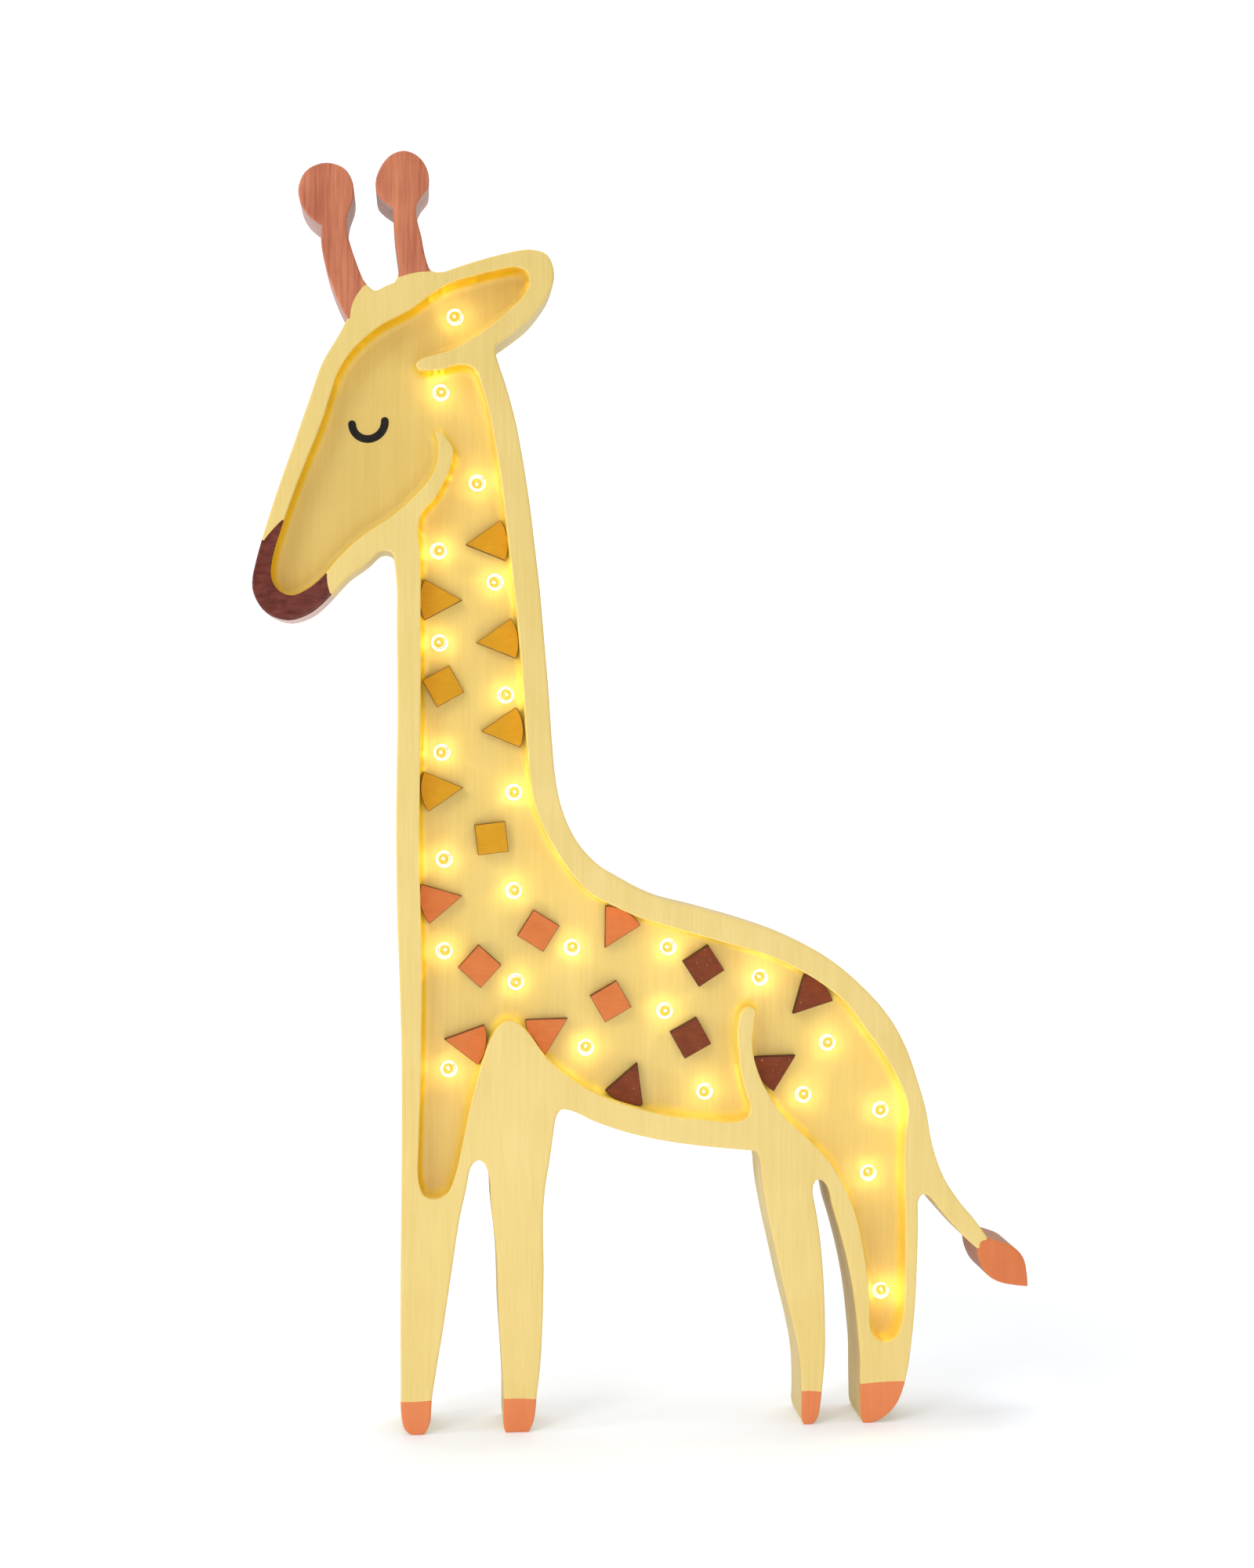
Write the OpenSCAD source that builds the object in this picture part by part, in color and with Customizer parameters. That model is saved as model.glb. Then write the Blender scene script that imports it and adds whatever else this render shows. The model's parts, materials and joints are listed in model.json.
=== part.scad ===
// Giraffe night light: a standing pine board with a lit recess, drawn in millimetres.
// X runs from the nose to the tail, Y from the front face to the back face, Z up from the hooves.
// The origin is on the ground, in the middle of the board's width and thickness.

/* [Board] */
// Thickness of the pine board
board_depth = 28; // [26:1:34]
// Depth of the recess milled into the front
recess_depth = 11; // [8:0.5:12]
// Wood left between the front recess and the wiring cavity
web = 5.5; // [4:0.5:6]
// Largest turn between two neighbouring edges of a curved outline, in degrees
max_turn = 10; // [6:1:20]

/* [Back cover] */
// Thickness of the plywood cover
cover_t = 3; // [2.5:0.5:4]
// How far the cover sits below the back face, so that nothing stands proud of it
cover_sink = 2; // [1.5:0.5:3]
// Width of the ledge that the cover lies on
ledge_w = 6; // [5.5:0.5:6]
// Gap between the cover's edge and the board
cover_gap = 0.3; // [0.2:0.1:0.6]

/* [Lamps] */
// Radius of a lamp's lens
lens_r = 2.5; // [1.5:0.5:2.5]
// Length of a lamp from its rim to the tip of its lens
lens_length = 7.6; // [6:0.1:8]
// Radius of the drilled lamp hole
lamp_hole_r = 2.7; // [2.6:0.05:3]
// Radius of the countersink around a lamp hole, on the recess floor
lamp_sink_r = 3.6; // [3:0.1:4.5]

/* [Spots] */
// Thickness of the glued plywood spots
spot_t = 4; // [3:0.5:5]
// Gap left where a spot is trimmed to fit beside the recess wall
spot_gap = 0.1; // [0.1:0.1:0.5]
// Side of a square spot
square_side = 13; // [10:0.5:16]
// Radius of a spot that is cut as a slice of a circle
slice_r = 18; // [14:0.5:20]
// Angle of the slice, in degrees
slice_angle = 57; // [40:1:65]

/* [Fittings] */
// Radius of the blind holes that the lamp hangs from on a wall
hang_r = 4.5; // [3:0.5:5]
// Depth of those holes
hang_depth = 10; // [8:1:12]
// Barrel radius that the power socket takes
socket_r = 2.8; // [2.7:0.05:3]
// How far each side of the switch's rocker dips, in degrees
rocker_tilt = 12; // [8:1:14]

/* [Hidden] */
$fn = 40;
eps = 0.01;
front = -board_depth / 2;
back = board_depth / 2;
recess_floor = front + recess_depth;
cavity_floor = recess_floor + web;
cover_front = back - cover_sink - cover_t;
cover_back = back - cover_sink;

// The outline, clockwise as seen from the front, in stretches that meet at sharp corners.
NECK_AND_FACE = [
    [-99.5, 0], [-102.5, 2], [-104, 7], [-104.4, 18], [-104.5, 35], [-104.5, 60], [-104.5, 130],
    [-104.5, 180], [-106, 225], [-106.3, 260], [-105.7, 310], [-106, 345], [-107, 368], [-108, 372],
    [-111, 373], [-118.5, 367.5], [-126, 362], [-133, 354.5], [-141, 347], [-151, 343.5], [-160, 346.5],
    [-166, 357], [-164.7, 367], [-160.2, 383], [-155.4, 398], [-148.7, 417], [-142, 436.5],
    [-136.4, 452], [-130.5, 462], [-126.5, 469.5]];
FRONT_HORN_STEM = [[-126.5, 469.5], [-130.5, 477], [-134, 486], [-136.2, 494], [-137.4, 502], [-137, 508]];
FRONT_HORN_KNOB = [
    [-137, 508], [-141, 510.5], [-144.5, 514.5], [-146.8, 522.5], [-143.8, 530.3], [-135, 534.2],
    [-127.3, 531.7], [-124, 525.5], [-124, 519.5], [-126, 513.5], [-126.8, 508.5], [-125.1, 500],
    [-122.2, 491.5], [-118.5, 484], [-115, 481.5], [-111, 483.3], [-107, 485]];
REAR_HORN_STEM = [[-107, 485], [-105.6, 487.5], [-105.9, 497], [-107.3, 509], [-107.5, 516]];
REAR_HORN_AND_EAR = [
    [-107.5, 516], [-111.3, 518.5], [-113.8, 521], [-114.8, 526], [-112.8, 532.7], [-107.9, 538.4],
    [-103, 540], [-98.3, 538.7], [-94.1, 534.3], [-92.5, 529], [-93, 524.5], [-96, 520.5], [-98, 515.5],
    [-97.4, 511], [-95.6, 504], [-93.3, 493.5], [-91.8, 490.5], [-89, 489.7], [-81.5, 491.7],
    [-70, 495.6], [-58.5, 498.8], [-49.5, 500.1], [-43.2, 498.2], [-40.3, 492.5], [-40.5, 485.5],
    [-44.5, 478], [-51, 470], [-58.5, 464], [-64, 460]];
BACK_AND_TAIL = [
    [-64, 460], [-64.8, 458], [-64.3, 455], [-60.5, 443.5], [-56.5, 429], [-53, 411], [-50.2, 393],
    [-47.9, 374], [-46, 358], [-44.4, 340], [-42, 312], [-40.7, 293], [-39.4, 279], [-37.4, 268],
    [-33.9, 258], [-28.4, 248.6], [-20.2, 240.4], [-10.3, 234.3], [3, 227.5], [23, 222], [42, 216.5],
    [59, 210.5], [75.5, 202.2], [92.3, 188.8], [105.6, 173.6], [112.1, 161.6], [117.3, 147],
    [120.8, 135], [123.5, 120.5], [128.7, 105.7], [135.4, 95.3], [142.9, 86.3], [148, 79]];
TUFT_TOP = [[148, 79], [154, 77], [160, 74.5], [164, 70], [165.5, 64], [166, 57.5]];
TUFT_BOTTOM = [[166, 57.5], [159, 58.3], [152.5, 60], [148.5, 62.5], [145, 68], [143.5, 74.5]];
HIND_LEG_BACK = [
    [143.5, 74.5], [138.5, 79], [132, 86], [126, 93], [121.8, 97.7], [119.7, 98.3], [118, 96.5],
    [117.5, 90], [117.3, 72], [116.6, 54], [115.1, 36], [113, 21], [111.2, 14], [108.4, 7.7],
    [104, 3], [98, 0]];
BETWEEN_HIND_LEGS = [
    [94, 0], [93.1, 1.7], [92.6, 7], [92.4, 17], [92.2, 30], [91.2, 41], [89.5, 55], [87, 68.5],
    [83, 84], [79.5, 96], [77.6, 102.8], [75.5, 105], [73.2, 105.2], [71.7, 102.7], [72.4, 95],
    [73.9, 86.5], [76.1, 66], [77, 46], [77.1, 30], [75.8, 14], [75, 7], [73.8, 2.3], [71.5, 0]];
BELLY = [
    [68, 0], [67.2, 1.7], [67, 7], [67, 14.5], [66.2, 28], [63.5, 42], [60, 56], [56, 73.5],
    [52, 91.5], [49.5, 107], [48.7, 114], [47, 117.8], [43.5, 118.5], [23, 120.7], [4, 123.8],
    [-13, 128.3], [-25, 133], [-33.5, 136.8], [-36.5, 137], [-38.5, 134.5], [-39.5, 130],
    [-41.5, 115.5], [-43.5, 103], [-44, 97], [-44, 67], [-44.5, 44.5], [-45.4, 28], [-47, 14],
    [-48.7, 3], [-50.3, 0]];
BETWEEN_FRONT_LEGS = [
    [-60, 0], [-60.8, 1.8], [-61, 7], [-61, 14.5], [-61.5, 27], [-63, 49], [-64, 76], [-66.5, 100],
    [-68, 112.3], [-69.5, 115], [-71.5, 116], [-73.5, 115], [-75.3, 112], [-76.3, 107],
    [-79.4, 92.5], [-83, 69], [-86.9, 42.5], [-89.8, 25], [-91.3, 14.5], [-93.2, 2], [-94.7, 0]];

// The edge of the front recess, clockwise. The ridges of the cheek, ear, shoulder and haunch stay standing.
RECESS = [
    [-90, 423], [-89, 419.5], [-88.5, 415.5], [-90.5, 406.5], [-98.5, 396], [-108, 387.5], [-118.5, 380.5],
    [-125, 375], [-131, 369], [-135.5, 363.5], [-143.5, 356.5], [-150, 354], [-155, 356], [-158, 361],
    [-157.5, 369.5], [-154, 381.5], [-149, 396], [-143.5, 410.5], [-137.5, 425.5], [-133.5, 438],
    [-131, 446], [-125, 456], [-118.5, 462.5], [-112, 467.5], [-100, 474], [-93, 479.5], [-85, 484.5],
    [-73.5, 488.5], [-62, 491.5], [-56, 492.5], [-51.5, 490.5], [-50.5, 486.5], [-53, 480.5],
    [-58.5, 475], [-66.5, 468], [-74.5, 462.5], [-83, 457.5], [-91, 455], [-95.5, 453.5], [-98, 451],
    [-97, 449], [-93, 448.5], [-86, 449.5], [-80.5, 451], [-76.5, 451], [-73, 449], [-71, 444],
    [-67.5, 432], [-65, 419], [-62.5, 404.5], [-60.5, 388], [-58, 367], [-55.5, 345.5], [-53, 316.5],
    [-52, 302], [-50.5, 283], [-48.5, 268.5], [-44.5, 257], [-39, 247], [-31, 235.5], [-24, 228.5],
    [-16.5, 224.5], [-3.5, 218.5], [11, 214], [35, 207], [53, 201.5], [67.5, 194.5], [77, 188.5],
    [86, 181], [93.5, 171], [101.5, 160], [109, 147], [112, 140], [113, 134], [112, 126.5], [111.5, 108],
    [112, 90.5], [112, 61.5], [111.5, 49.5], [110, 41], [108, 37], [103.5, 35], [99.5, 36.5], [97, 41],
    [96.5, 49], [95.5, 64], [93.5, 76.5], [90.5, 89.5], [85.5, 102], [79, 113], [69, 123.5], [59, 133],
    [52, 143], [47, 154], [45, 164.5], [46, 175], [46.5, 178], [44.5, 180], [41.5, 179], [39, 172.5],
    [39, 163.5], [40.5, 151.5], [43, 141.5], [44.5, 137], [43, 133], [39, 131], [29, 131.5], [11, 133.5],
    [-3.5, 137], [-19, 142.5], [-33.5, 151], [-44, 160.5], [-52, 171.5], [-55, 174], [-59.5, 175],
    [-63, 173], [-66, 168.5], [-69, 160.5], [-74.5, 141.5], [-77.5, 127.5], [-82, 108], [-84.5, 102.5],
    [-90, 100], [-94.5, 101.5], [-96.5, 106], [-97, 117.5], [-96, 148], [-95.5, 198.5], [-96.5, 242.5],
    [-96, 307], [-96, 345.5], [-96.5, 374], [-97, 383], [-95.5, 389], [-91, 394], [-87, 400.5],
    [-84, 407], [-82.5, 412.5], [-82.5, 416.5], [-84.5, 419.5], [-87.5, 422.5]];

// The edge of the wiring cavity in the back, clockwise. It reaches behind every lamp and down the second leg.
CAVITY = [
    [-89, 477], [-82, 479.5], [-76, 476], [-73.5, 467], [-73.5, 452], [-72, 440], [-68.5, 422],
    [-66.5, 404], [-63, 380], [-60.5, 360], [-57.5, 330], [-56, 312], [-54, 290], [-52.5, 271],
    [-49, 252], [-42, 234], [-28, 218], [-10, 212.5], [10, 211], [30, 207], [50, 198.5], [68, 184],
    [85, 167.5], [99, 147], [107.3, 132.5], [106.5, 110], [107, 90], [107.2, 66], [107.4, 55],
    [103.5, 49.2], [99.4, 55], [98.4, 64], [97, 75], [93, 95], [90, 108], [82, 124], [68, 134],
    [58, 143], [48, 146], [38, 141], [26, 135], [12, 141], [-6, 148], [-25, 154], [-38, 157.5],
    [-46.5, 153.5], [-49, 145], [-49, 130], [-50.5, 121.5], [-56, 116.5], [-62.5, 121.5], [-65, 131],
    [-66, 140], [-69, 147], [-75.5, 149.5], [-84, 148], [-91, 153], [-93, 163], [-93, 200], [-94, 243],
    [-94, 290], [-94, 335], [-94.5, 375], [-93.5, 405], [-94.5, 440], [-92, 465]];

// The deeper pocket for the switch and the power socket, in the second front leg.
POCKET = [
    [-63.5, 150], [-57, 153.5], [-51, 150], [-50.5, 136], [-50.5, 124], [-56, 118], [-62, 124], [-63.5, 136]];
pocket_floor = -7;

// Lamp centres, in the order that the wires reach them.
LAMPS = [
    [-81.5, 473], [-87.5, 441], [-72, 403], [-88.5, 374], [-64.5, 361], [-88, 335], [-60, 313],
    [-87, 288.5], [-56.5, 271.5], [-86, 243], [-56.5, 229.5], [-86, 204], [-84, 153.5], [-55.5, 190.5],
    [-31.5, 205], [-25.5, 162], [26, 142.5], [8.5, 177.5], [10, 205], [50, 191.5], [79.5, 163],
    [69, 140.5], [103, 133.5], [97.8, 106], [103.5, 54.5]];

// Spots: name, colour, kind, centre of a square or point of a slice, and its direction in degrees.
ochre = "#E0A52A";
coral = "#DD7B47";
brown = "#6E3323";
SPOTS = [
    ["ochre_slice_1", ochre, "slice", [-77, 376.5], 7],
    ["ochre_slice_2", ochre, "slice", [-78.5, 353], 180],
    ["ochre_slice_3", ochre, "slice", [-72.5, 335], 7],
    ["ochre_square_1", ochre, "square", [-86.5, 316.5], 29],
    ["ochre_slice_4", ochre, "slice", [-70.5, 297.5], 6],
    ["ochre_slice_5", ochre, "slice", [-78, 273.5], 186],
    ["ochre_square_2", ochre, "square", [-66, 252], 7],
    ["coral_slice_1", coral, "slice", [-78.5, 227.5], 192],
    ["coral_square_1", coral, "square", [-46, 212.5], 58],
    ["coral_square_2", coral, "square", [-71, 197.5], 48],
    ["coral_slice_2", coral, "slice", [-17.5, 205], 61],
    ["coral_square_3", coral, "square", [-15, 182], 30],
    ["coral_slice_3", coral, "slice", [-86, 166.5], 351],
    ["coral_slice_4", coral, "slice", [-33.5, 175], 210],
    ["brown_square_1", brown, "square", [25, 197], 33],
    ["brown_square_2", brown, "square", [19.5, 166], 29],
    ["brown_slice_1", brown, "slice", [64, 176], 46],
    ["brown_slice_2", brown, "slice", [65, 158], 210],
    ["brown_slice_3", brown, "slice", [-3.5, 155.5], 249]];
slice_steps = 6;

// Knots of the cavity's edge that have a screw beside them, counted from 0, and how far out it sits.
SCREW_KNOTS = [0, 4, 7, 10, 13, 16, 19, 22, 25, 29, 33, 36, 40, 43, 47, 50, 55, 58, 60, 62, 64];
screw_out = 2.9;
screw_r = 1.1;
screw_play = 0.2;
screw_head_r = 2.2;
screw_head_h = 1.3;
screw_sink_play = 0.05;
screw_end_gap = 0.5;
screw_length = 10;
cross_w = 0.6;
cross_l = 2.6;
cross_depth = 0.7;

HANG_HOLES = [[-118, 428], [50, 126]];

switch_at = [-57, 144];
switch_w = 9.2;
switch_h = 13.2;
switch_bottom = -1;
switch_wall = 1.1;
bezel_w = 11.4;
bezel_h = 15.4;
bezel_t = 1.2;
pivot_y = 10.6;
pivot_r = 0.8;
pivot_play = 0.05;
rocker_w = 6.4;
rocker_r = 4.7;
// Half the length of the rocker's top, and the heights of its ends and its middle over the pivot.
rocker_half = 4.2;
rocker_end_h = 2.3;
rocker_mid_h = 1.3;
rocker_play = 0.4;
rocker_well = 6;
rocker_steps = 12;
rocker_sweep = 128;
blade_w = 2.8;
blade_t = 0.6;
blade_l = 4;
blade_dz = 3.5;

socket_at = [-56, 125];
socket_body_r = 4;
socket_flange_r = 5.2;
socket_flange_t = 1.5;
socket_bottom = -2;
socket_depth = 8;
socket_nut_r = 6;
socket_nut_t = 2;
pin_r = 1.05;
tag_w = 2;
tag_t = 0.6;
tag_l = 3.5;
tag_dx = 2.5;
opening_play = 0.1;

lead_r = 0.25;
lead_offset = 1.27;
lens_rim_w = 0.4;
lens_rim_t = 1;
solder_r = 0.9;
// Depths of the two wire chains, far enough apart for one to cross over the other.
red_y = 7.4;
black_y = 5.4;
wire_r = 0.6;
bend_r = 0.65;
// Lamp that the two feed wires join, the resistor below it, and the depth of the wires' low end.
feed_lamp = 13;
resistor_x = -57.5;
resistor_y = 6;
resistor_top = 176;
resistor_bottom = 168;
resistor_lead = 2;
resistor_r = 1.2;
resistor_cap_r = 1.45;
resistor_cap_l = 1.6;
feed_low_y = -3.5;
// Where the red wire comes back to the resistor's depth, dives beside the switch, and turns to the socket.
red_turn_z = 184;
red_dive = [[resistor_y, 155.5], [4, 152], [feed_low_y, 152.2]];
red_low_z = [133, 130];
// The black wire's way down beside the switch, as points [x, y, z].
black_route = [
    [-54, black_y, 180], [-50.9, 4.5, 156], [-50.9, 4.5, 136], [socket_at[0] + tag_dx, feed_low_y, 132]];

led_names = [for (i = [1:len(LAMPS)]) str("led_", i < 10 ? "0" : "", i)];
spot_names = [for (s = SPOTS) str("spot_", s[0])];

// Curves ------------------------------------------------------------------------------------------

function unit(v) = v / norm(v);
function left_of(v) = [-v[1], v[0]];
function bend(u, v) = acos(max(-1, min(1, u * v / (norm(u) * norm(v)))));

// Direction of the curve at b, from its neighbours a and c, weighted by how close each one is.
function slope(a, b, c) =
    let (ab = norm(b - a), bc = norm(c - b))
    ((c - b) / bc * ab + (b - a) / ab * bc) / (ab + bc);

// Points from p up to, but without, q along a cubic that leaves p along m and reaches q along n.
function span(p, m, q, n) =
    let (d = norm(q - p), steps = max(1, ceil((bend(m, q - p) + bend(q - p, n)) / max_turn)))
    [for (s = [0:steps - 1]) let (t = s / steps)
        (2 * t * t * t - 3 * t * t + 1) * p + (t * t * t - 2 * t * t + t) * d * m
        + (3 * t * t - 2 * t * t * t) * q + (t * t * t - t * t) * d * n];

// A smooth closed curve through the knots.
function ring(k) =
    let (n = len(k), m = [for (i = [0:n - 1]) slope(k[(i + n - 1) % n], k[i], k[(i + 1) % n])])
    [for (i = [0:n - 1], p = span(k[i], m[i], k[(i + 1) % n], m[(i + 1) % n])) p];

// A smooth open curve through the knots, without its last point, which the next stretch begins with.
function stretch(k) =
    let (
        n = len(k) - 1,
        inner = [for (i = [1:n - 1]) slope(k[i - 1], k[i], k[i + 1])],
        first = 2 * unit(k[1] - k[0]) - inner[0],
        last = 2 * unit(k[n] - k[n - 1]) - inner[n - 2],
        m = concat([first], inner, [last]))
    [for (i = [0:n - 1], p = span(k[i], m[i], k[i + 1], m[i + 1])) p];

// A stretch with its last point, used where the outline goes on along the ground.
function full_stretch(k) = concat(stretch(k), [k[len(k) - 1]]);

// How far point i of a closed line moves to make that line one unit larger all round.
function outward(p, i) =
    let (
        n = len(p),
        u = left_of(unit(p[i] - p[(i + n - 1) % n])),
        v = left_of(unit(p[(i + 1) % n] - p[i])))
    (u + v) / (1 + u * v);

function grow(p, d) = [for (i = [0:len(p) - 1]) p[i] + d * outward(p, i)];

OUTLINE = concat(
    stretch(NECK_AND_FACE), stretch(FRONT_HORN_STEM), stretch(FRONT_HORN_KNOB), stretch(REAR_HORN_STEM),
    stretch(REAR_HORN_AND_EAR), stretch(BACK_AND_TAIL), stretch(TUFT_TOP), stretch(TUFT_BOTTOM),
    full_stretch(HIND_LEG_BACK), full_stretch(BETWEEN_HIND_LEGS), full_stretch(BELLY),
    full_stretch(BETWEEN_FRONT_LEGS));
RECESS_EDGE = ring(RECESS);
CAVITY_EDGE = ring(CAVITY);
SCREWS = [for (i = SCREW_KNOTS)
    let (n = len(CAVITY), along = CAVITY[(i + 1) % n] - CAVITY[(i + n - 1) % n])
    CAVITY[i] + screw_out * unit(left_of(along))];

// Solids ------------------------------------------------------------------------------------------

// An upright plate with the given outline, between two depths.
module plate(points, y0, y1) {
    translate([0, y1, 0]) rotate([90, 0, 0]) linear_extrude(y1 - y0) polygon(points);
}

// A rod along the depth, between y0 and y1, with a radius at each end.
module rod(at, y0, y1, r0, r1) {
    translate([at[0], y0, at[1]]) rotate([-90, 0, 0]) cylinder(h = y1 - y0, r1 = r0, r2 = r1);
}

// A block along the depth, centred on a point.
module block(at, w, h, y0, y1) {
    translate([at[0] - w / 2, y0, at[1] - h / 2]) cube([w, y1 - y0, h]);
}

// A rod from one point to another.
module bar(a, b, r) {
    d = b - a;
    translate(a) rotate([0, acos(d[2] / norm(d)), atan2(d[1], d[0])]) cylinder(h = norm(d), r = r, $fn = 16);
}

// A wire through the given points, with a rounded bend at each inner point.
module wire_run(points) {
    for (i = [0:len(points) - 2]) bar(points[i], points[i + 1], wire_r);
    for (i = [1:len(points) - 2]) translate(points[i]) sphere(r = bend_r, $fn = 16);
}

// Wood and cover ----------------------------------------------------------------------------------

module board() {
    color("#E9D288") difference() {
        plate(OUTLINE, front, back);
        plate(RECESS_EDGE, front - 1, recess_floor);
        plate(CAVITY_EDGE, cavity_floor, back + 1);
        plate(grow(CAVITY_EDGE, ledge_w), cover_front, back + 1);
        plate(ring(POCKET), pocket_floor, cavity_floor + 1);
        for (p = LAMPS) {
            rod(p, recess_floor - 1, cavity_floor + 1, lamp_hole_r, lamp_hole_r);
            rod(p, recess_floor - eps, recess_floor + lamp_sink_r - lamp_hole_r, lamp_sink_r, lamp_hole_r);
        }
        for (p = SCREWS) rod(p, cover_back - screw_length - screw_end_gap, cover_front + 1, screw_r, screw_r);
        for (p = HANG_HOLES) rod(p, back - hang_depth, back + 1, hang_r, hang_r);
    }
}

module back_cover() {
    color("#D9BE86") difference() {
        plate(grow(CAVITY_EDGE, ledge_w - cover_gap), cover_front, cover_back);
        for (p = SCREWS) {
            rod(p, cover_front - 1, cover_back + 1, screw_r + screw_play, screw_r + screw_play);
            rod(
                p, cover_back - screw_head_h, cover_back + eps,
                screw_r + screw_sink_play, screw_head_r + screw_sink_play);
        }
        block(
            switch_at, switch_w + 2 * opening_play, switch_h + 2 * opening_play,
            cover_front - 1, cover_back + 1);
        rod(
            socket_at, cover_front - 1, cover_back + 1,
            socket_body_r + opening_play, socket_body_r + opening_play);
    }
}

module cover_screws() {
    color("#B9B9B4") for (p = SCREWS) difference() {
        union() {
            rod(p, cover_back - screw_length, cover_back - screw_head_h + eps, screw_r, screw_r);
            rod(p, cover_back - screw_head_h, cover_back, screw_r, screw_head_r);
        }
        block(p, cross_l, cross_w, cover_back - cross_depth, cover_back + 1);
        block(p, cross_w, cross_l, cover_back - cross_depth, cover_back + 1);
    }
}

// A slice of a circle, its point at the origin, and a square around the origin.
function slice(angle) = concat([[0, 0]], [for (s = [0:slice_steps])
    let (a = angle + slice_angle * (s / slice_steps - 0.5)) slice_r * [cos(a), sin(a)]]);
function square_at(angle) = [for (q = [0:3])
    let (a = angle + 45 + 90 * q) square_side / sqrt(2) * [cos(a), sin(a)]];

module spot(s) {
    shape = s[2] == "slice" ? slice(s[4]) : square_at(s[4]);
    color(s[1]) intersection() {
        plate([for (p = shape) s[3] + p], recess_floor - spot_t, recess_floor);
        plate(grow(RECESS_EDGE, -spot_gap), front, recess_floor + eps);
    }
}

// Lamps and wiring --------------------------------------------------------------------------------

module led(p) {
    tip = cavity_floor - lens_length;
    color("#FFE9B0") union() {
        rod(p, cavity_floor, cavity_floor + lens_rim_t, lens_r + lens_rim_w, lens_r + lens_rim_w);
        rod(p, tip + lens_r, cavity_floor + eps, lens_r, lens_r);
        translate([p[0], tip + lens_r, p[1]]) sphere(r = lens_r);
    }
}

// Unit vector across the wire chain at lamp i: black joints lie on this side, red ones on the other.
function across(i) =
    let (
        n = len(LAMPS) - 1,
        u = left_of(unit(LAMPS[max(1, i)] - LAMPS[max(1, i) - 1])),
        v = left_of(unit(LAMPS[min(n, i + 1)] - LAMPS[min(n, i + 1) - 1])))
    unit(u + v);
function joint(i, side) =
    let (p = LAMPS[i] + side * lead_offset * across(i)) [p[0], side > 0 ? black_y : red_y, p[1]];

module led_leads() {
    color("#C8C8C8") for (i = [0:len(LAMPS) - 1], side = [-1, 1]) {
        p = joint(i, side);
        rod([p[0], p[2]], cavity_floor + lens_rim_t, p[1] - solder_r, lead_r, lead_r);
    }
}

module solder_joints() {
    color("#A9ABAD") for (i = [0:len(LAMPS) - 1], side = [-1, 1])
        translate(joint(i, side)) sphere(r = solder_r, $fn = 20);
}

// Where a wire that runs from joint a towards point b leaves the ball of solder.
function leaving(a, b) = a + solder_r * unit(b - a);

module wire_chain(side) {
    for (i = [0:len(LAMPS) - 2]) {
        a = joint(i, side);
        b = joint(i + 1, side);
        bar(leaving(a, b), leaving(b, a), wire_r);
    }
}

// The red wire runs through the resistor to the switch, and on from there to the socket.
module wire_red() {
    start = joint(feed_lamp, -1);
    turn = [resistor_x, red_y, red_turn_z];
    blade_z = blade_dz + blade_t / 2;
    color("#B02A22") {
        wire_chain(-1);
        wire_run([leaving(start, turn), turn, [resistor_x, resistor_y, resistor_top + resistor_lead]]);
        wire_run(concat(
            [[resistor_x, resistor_y, resistor_bottom - resistor_lead]],
            [for (d = red_dive) [switch_at[0], d[0], d[1]]],
            [[switch_at[0], feed_low_y, switch_at[1] + blade_z]]));
        wire_run([
            [switch_at[0], feed_low_y, switch_at[1] - blade_z], [switch_at[0], feed_low_y, red_low_z[0]],
            [socket_at[0] - tag_dx, feed_low_y, red_low_z[1]],
            [socket_at[0] - tag_dx, feed_low_y, socket_at[1] + tag_w / 2]]);
    }
}

// The black wire runs beside the switch, straight to the socket.
module wire_black() {
    start = joint(feed_lamp, 1);
    color("#1E1E1E") {
        wire_chain(1);
        wire_run(concat(
            [leaving(start, black_route[0])], black_route,
            [[socket_at[0] + tag_dx, feed_low_y, socket_at[1] + tag_w / 2]]));
    }
}

// The drop resistor between the lamps and the switch: a body with a cap and a lead at each end.
module resistor() {
    color("#C9B48C") {
        bar(
            [resistor_x, resistor_y, resistor_bottom - resistor_lead],
            [resistor_x, resistor_y, resistor_top + resistor_lead], lead_r);
        bar([resistor_x, resistor_y, resistor_bottom], [resistor_x, resistor_y, resistor_top], resistor_r);
        for (z = [resistor_bottom, resistor_top - resistor_cap_l])
            bar([resistor_x, resistor_y, z], [resistor_x, resistor_y, z + resistor_cap_l], resistor_cap_r);
    }
}

// Switch ------------------------------------------------------------------------------------------

module switch_housing() {
    color("#1B1B1C") difference() {
        union() {
            block(switch_at, switch_w, switch_h, switch_bottom, cover_back + eps);
            block(switch_at, bezel_w, bezel_h, cover_back, cover_back + bezel_t);
        }
        block(
            switch_at, switch_w - 2 * switch_wall, 2 * (rocker_r + rocker_play),
            pivot_y - rocker_well, back + 1);
        translate([switch_at[0] - switch_w, pivot_y, switch_at[1]]) rotate([0, 90, 0])
            cylinder(h = 2 * switch_w, r = pivot_r + pivot_play);
    }
}

// The rocker's section, with its pivot at the origin: a round body under a shallow V.
function rocker_section() = concat(
    [for (s = [0:rocker_steps])
        let (a = 270 + rocker_sweep * (s / rocker_steps - 0.5)) rocker_r * [cos(a), sin(a)]],
    [[rocker_half, rocker_end_h], [0, rocker_mid_h], [-rocker_half, rocker_end_h]]);

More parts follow.
